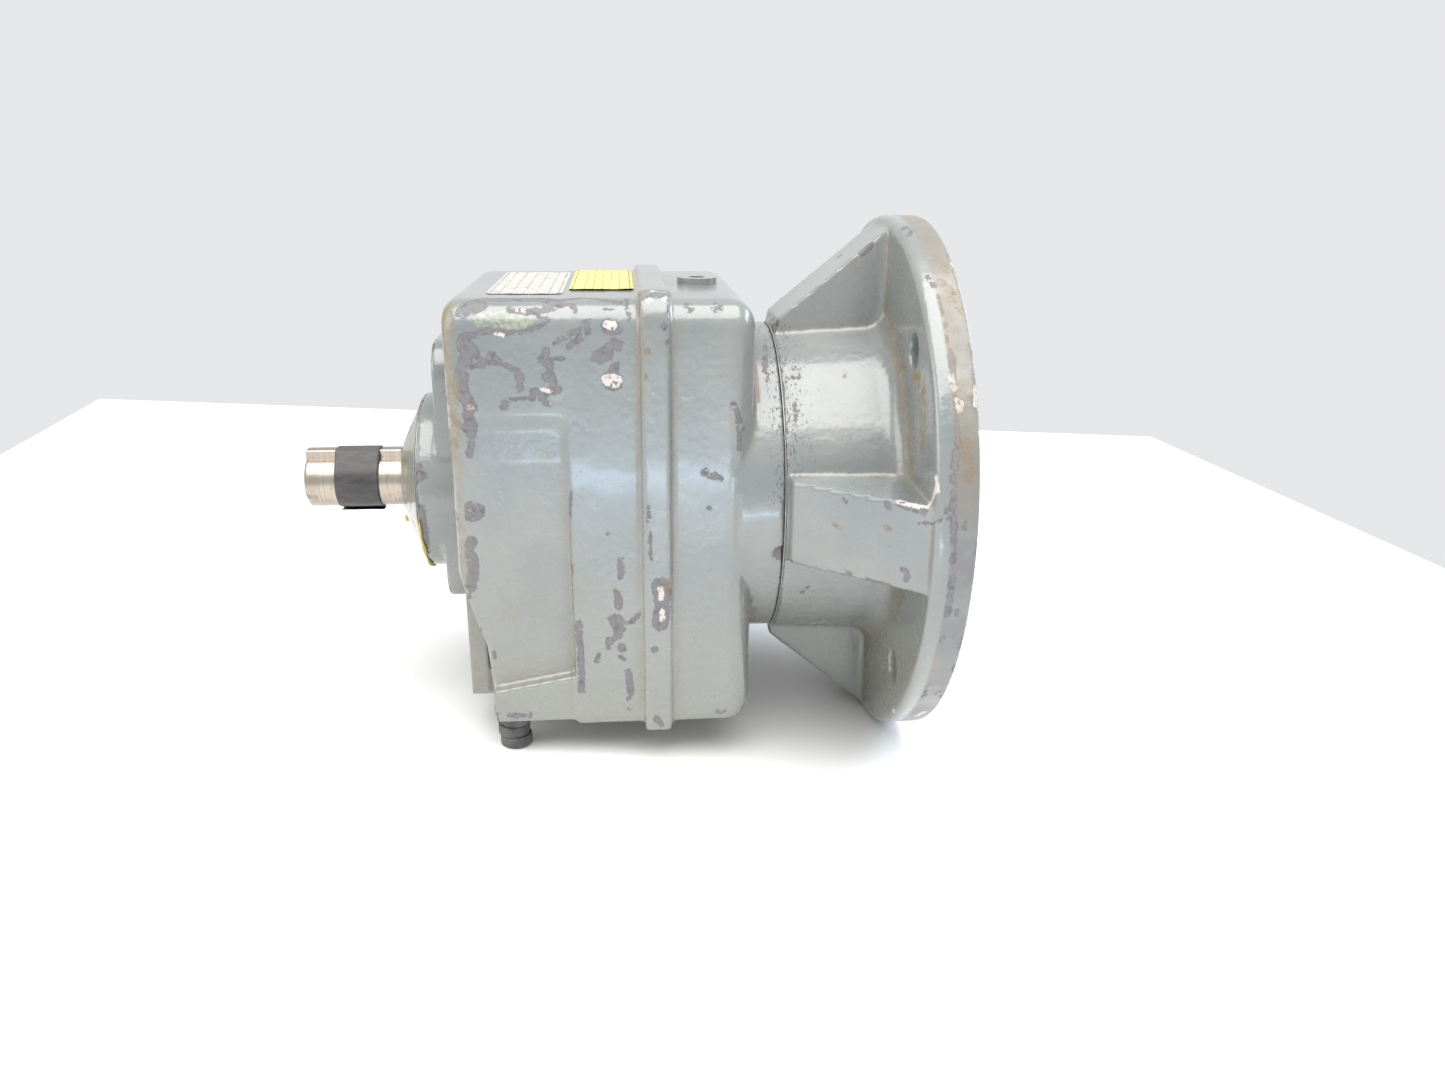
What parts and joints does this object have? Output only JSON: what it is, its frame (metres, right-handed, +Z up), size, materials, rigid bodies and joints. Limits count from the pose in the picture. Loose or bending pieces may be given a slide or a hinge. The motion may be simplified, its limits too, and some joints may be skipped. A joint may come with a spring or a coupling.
{
  "type": "gearmotor",
  "caption": "In-line helical gear reducer with a ribbed motor adapter flange, keyed output shaft, worn blue-grey cast case and free-turning gear train.",
  "frame": {"origin": "centre of the motor flange's face, on the shaft axis", "axes": "+X leaves the motor face towards the motor, the output shaft points to -X, +Z is up with the labels and the vent plug on top"},
  "size_m": [0.2333, 0.2, 0.2],
  "materials": {
    "case_paint": "worn blue-grey gloss enamel over dark primer on cast iron",
    "zinc_steel": "zinc-plated, dulled",
    "gasket": "oiled fibre sheet",
    "seal_rubber": "satin black rubber",
    "copper": "soft copper",
    "vinyl_tape": "satin black vinyl",
    "plate_silver": "satin silver",
    "label_yellow": "matt yellow film",
    "dark_disc": "dull dark grey",
    "cage_brass": "pressed sheet steel",
    "bearing_steel": "ground and polished",
    "spring_steel": "phosphated spring steel",
    "gear_steel": "ground, oily",
    "shaft_steel": "ground steel with light rust"
  },
  "bodies": {
    "housing": {"adapter_gasket": "gasket", "adapter_screws": "zinc_steel", "drain_plug": "zinc_steel", "far_support_discs": "dark_disc", "gear_case": "case_paint", "input_main_bearing_outer_ring": "bearing_steel", "input_nose_bearing_outer_ring": "bearing_steel", "input_oil_seal": "seal_rubber", "layshaft_bearing_circlip": "spring_steel", "layshaft_front_bearing_outer_ring": "bearing_steel", "layshaft_rear_bearing_outer_ring": "bearing_steel", "motor_adapter": "case_paint", "nameplate": "plate_silver", "near_support_discs": "dark_disc", "output_bearing_circlip": "spring_steel", "output_cover": "case_paint", "output_cover_gasket": "gasket", "output_front_bearing_outer_ring": "bearing_steel", "output_oil_seal": "seal_rubber", "output_rear_bearing_outer_ring": "bearing_steel", "plug_seal_rings": "copper", "side_cover": "case_paint", "side_cover_gasket": "gasket", "side_cover_screws": "zinc_steel", "vent_plug": "zinc_steel", "yellow_label": "label_yellow"},
    "output": {"output_shaft": "shaft_steel", "output_key": "shaft_steel", "shaft_tape": "vinyl_tape", "output_gear": "gear_steel", "output_gear_key": "shaft_steel", "output_gear_circlip": "spring_steel", "output_front_bearing_inner_ring": "bearing_steel", "output_rear_bearing_inner_ring": "bearing_steel"},
    "layshaft": {"layshaft": "shaft_steel", "layshaft_gear": "gear_steel", "layshaft_gear_key": "shaft_steel", "layshaft_gear_circlip": "spring_steel", "layshaft_front_bearing_inner_ring": "bearing_steel", "layshaft_rear_bearing_inner_ring": "bearing_steel"},
    "input": {"input_shaft": "shaft_steel", "input_shaft_circlip": "spring_steel", "input_nose_bearing_inner_ring": "bearing_steel", "input_main_bearing_inner_ring": "bearing_steel"},
    "output_front_bearing_cage": {"output_front_bearing_cage": "cage_brass", "output_front_bearing_balls": "bearing_steel"},
    "output_rear_bearing_cage": {"output_rear_bearing_cage": "cage_brass", "output_rear_bearing_balls": "bearing_steel"},
    "layshaft_front_bearing_cage": {"layshaft_front_bearing_cage": "cage_brass", "layshaft_front_bearing_balls": "bearing_steel"},
    "layshaft_rear_bearing_cage": {"layshaft_rear_bearing_cage": "cage_brass", "layshaft_rear_bearing_balls": "bearing_steel"},
    "input_nose_bearing_cage": {"input_nose_bearing_cage": "cage_brass", "input_nose_bearing_balls": "bearing_steel"},
    "input_main_bearing_cage": {"input_main_bearing_cage": "cage_brass", "input_main_bearing_balls": "bearing_steel"}
  },
  "joints": [
    {"name": "output_spin", "type": "hinge", "parent": "housing", "child": "output", "pos_m": [-0.2, 0, 0], "axis": [1, 0, 0], "continuous": true},
    {"name": "layshaft_spin", "type": "hinge", "parent": "housing", "child": "layshaft", "pos_m": [-0.12, 0, -0.0375], "axis": [1, 0, 0], "continuous": true},
    {"name": "input_spin", "type": "hinge", "parent": "housing", "child": "input", "pos_m": [-0.06, 0, 0], "axis": [1, 0, 0], "continuous": true},
    {"name": "output_front_bearing_cage_spin", "type": "hinge", "parent": "housing", "child": "output_front_bearing_cage", "pos_m": [-0.176, 0, 0], "axis": [1, 0, 0], "continuous": true},
    {"name": "output_rear_bearing_cage_spin", "type": "hinge", "parent": "housing", "child": "output_rear_bearing_cage", "pos_m": [-0.126, 0, 0], "axis": [1, 0, 0], "continuous": true},
    {"name": "layshaft_front_bearing_cage_spin", "type": "hinge", "parent": "housing", "child": "layshaft_front_bearing_cage", "pos_m": [-0.1585, 0, -0.0375], "axis": [1, 0, 0], "continuous": true},
    {"name": "layshaft_rear_bearing_cage_spin", "type": "hinge", "parent": "housing", "child": "layshaft_rear_bearing_cage", "pos_m": [-0.0785, 0, -0.0375], "axis": [1, 0, 0], "continuous": true},
    {"name": "input_nose_bearing_cage_spin", "type": "hinge", "parent": "housing", "child": "input_nose_bearing_cage", "pos_m": [-0.1125, 0, 0], "axis": [1, 0, 0], "continuous": true},
    {"name": "input_main_bearing_cage_spin", "type": "hinge", "parent": "housing", "child": "input_main_bearing_cage", "pos_m": [-0.0483, 0, 0], "axis": [1, 0, 0], "continuous": true}
  ],
  "couplings": [
    {"joint": "layshaft_spin", "follows": "output_spin", "ratio": -2.5714},
    {"joint": "input_spin", "follows": "output_spin", "ratio": 9.2967},
    {"joint": "output_front_bearing_cage_spin", "follows": "output_spin", "ratio": 0.39688},
    {"joint": "output_rear_bearing_cage_spin", "follows": "output_spin", "ratio": 0.38175},
    {"joint": "layshaft_front_bearing_cage_spin", "follows": "output_spin", "ratio": -0.9792},
    {"joint": "layshaft_rear_bearing_cage_spin", "follows": "output_spin", "ratio": -0.9792},
    {"joint": "input_nose_bearing_cage_spin", "follows": "output_spin", "ratio": 3.5402},
    {"joint": "input_main_bearing_cage_spin", "follows": "output_spin", "ratio": 3.9649}
  ]
}
